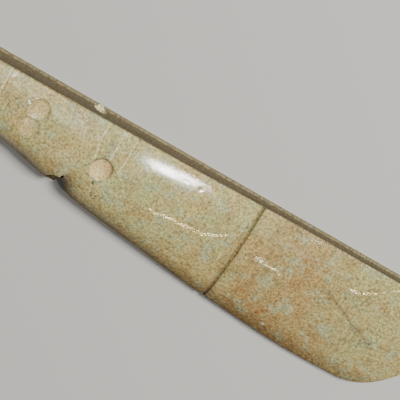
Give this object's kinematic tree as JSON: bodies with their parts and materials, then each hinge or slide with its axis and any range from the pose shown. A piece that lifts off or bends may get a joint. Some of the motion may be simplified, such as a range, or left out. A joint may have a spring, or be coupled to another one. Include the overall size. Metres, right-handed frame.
{
  "type": "axe god pendant",
  "caption": "Long jade half-celt pendant with a carved figure and plain blade, drilled across the neck.",
  "frame": {"origin": "under the middle of the outline, on the flat back that the pendant lies on", "axes": "+X from the head to the cutting edge, +Y towards the sawn side, +Z out of the carved front"},
  "size_m": [0.198, 0.0374, 0.0128],
  "materials": {
    "polished_jade": "polished pale green jade with tan mottling, unpolished on the sawn side and back"
  },
  "bodies": {
    "root": {"axe_god_pendant": "polished_jade"}
  },
  "joints": []
}
